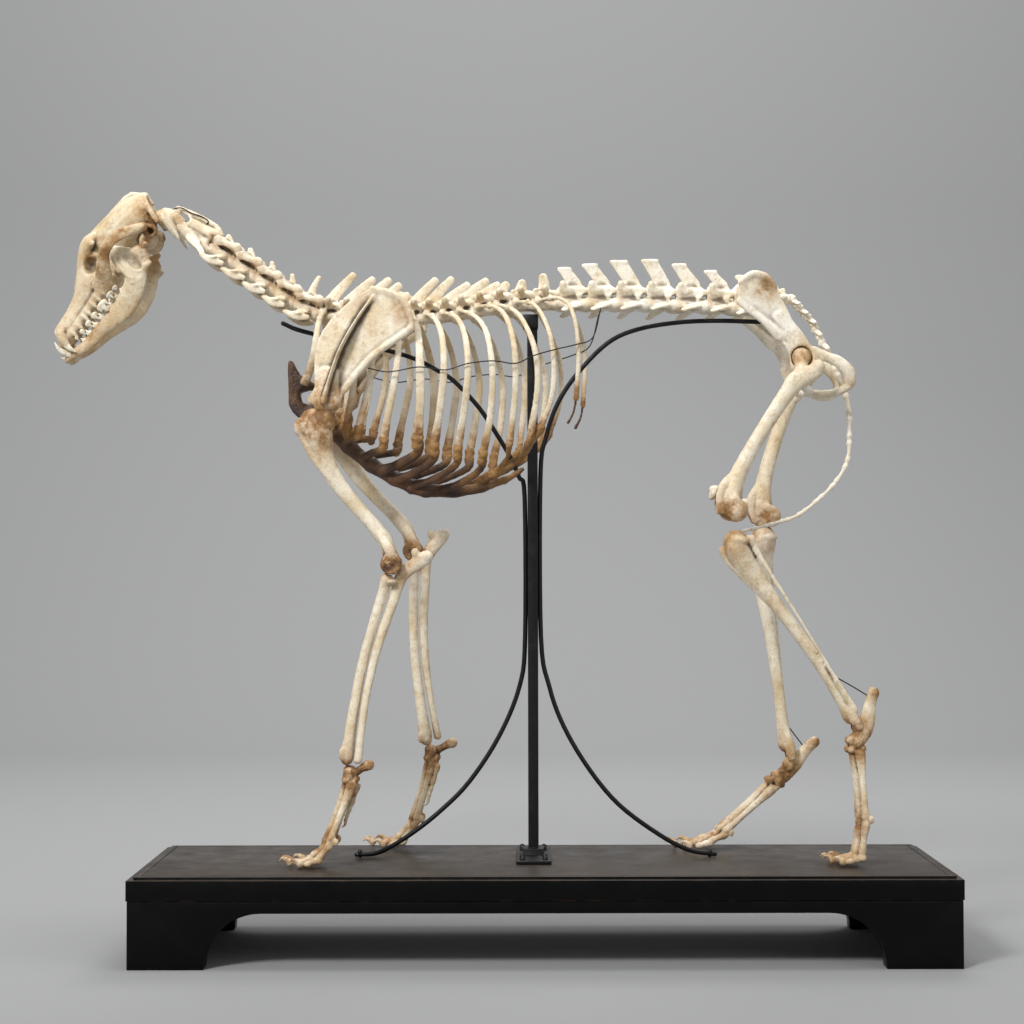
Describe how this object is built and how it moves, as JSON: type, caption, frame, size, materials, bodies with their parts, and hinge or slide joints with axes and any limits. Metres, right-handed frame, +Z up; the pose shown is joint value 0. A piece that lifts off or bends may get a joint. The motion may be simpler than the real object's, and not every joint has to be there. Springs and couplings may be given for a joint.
{
  "type": "mounted dog skeleton",
  "caption": "Complete skeleton of a slender long-legged dog in a walking pose, on iron rods and a black wooden plinth with bracket feet.",
  "frame": {"origin": "on the floor under the middle of the whole object's box", "axes": "+X from the dog's head towards its tail along the plinth, +Y from its left side to its right side, +Z up"},
  "size_m": [1.0314, 0.25, 0.8821],
  "materials": {
    "bone": "dry cream bone, stained tan at the joints",
    "cartilage": "dried cartilage, brown, slightly glossy",
    "iron": "blackened wrought iron",
    "black_wood": "black paint, worn, satin"
  },
  "bodies": {
    "root": {"top_board": "black_wood", "front_apron": "black_wood", "back_apron": "black_wood", "left_end": "black_wood", "right_end": "black_wood", "post": "iron", "front_rod": "iron", "rear_rod": "iron", "skull": "bone", "mandible": "bone", "atlas": "bone", "axis": "bone", "cervical_3": "bone", "cervical_4": "bone", "cervical_5": "bone", "cervical_6": "bone", "cervical_7": "bone", "thoracic_1": "bone", "thoracic_2": "bone", "thoracic_3": "bone", "thoracic_4": "bone", "thoracic_5": "bone", "thoracic_6": "bone", "thoracic_7": "bone", "thoracic_8": "bone", "thoracic_9": "bone", "thoracic_10": "bone", "thoracic_11": "bone", "thoracic_12": "bone", "thoracic_13": "bone", "lumbar_1": "bone", "lumbar_2": "bone", "lumbar_3": "bone", "lumbar_4": "bone", "lumbar_5": "bone", "lumbar_6": "bone", "lumbar_7": "bone", "sacrum": "bone", "tail": "bone", "pelvis": "bone", "sternum": "cartilage", "left_scapula": "bone", "left_humerus": "bone", "left_radius": "bone", "left_ulna": "bone", "left_forepaw": "bone", "left_femur": "bone", "left_patella": "bone", "left_tibia": "bone", "left_hindpaw": "bone", "right_scapula": "bone", "right_humerus": "bone", "right_radius": "bone", "right_ulna": "bone", "right_forepaw": "bone", "right_femur": "bone", "right_patella": "bone", "right_tibia": "bone", "right_hindpaw": "bone"}
  },
  "joints": []
}
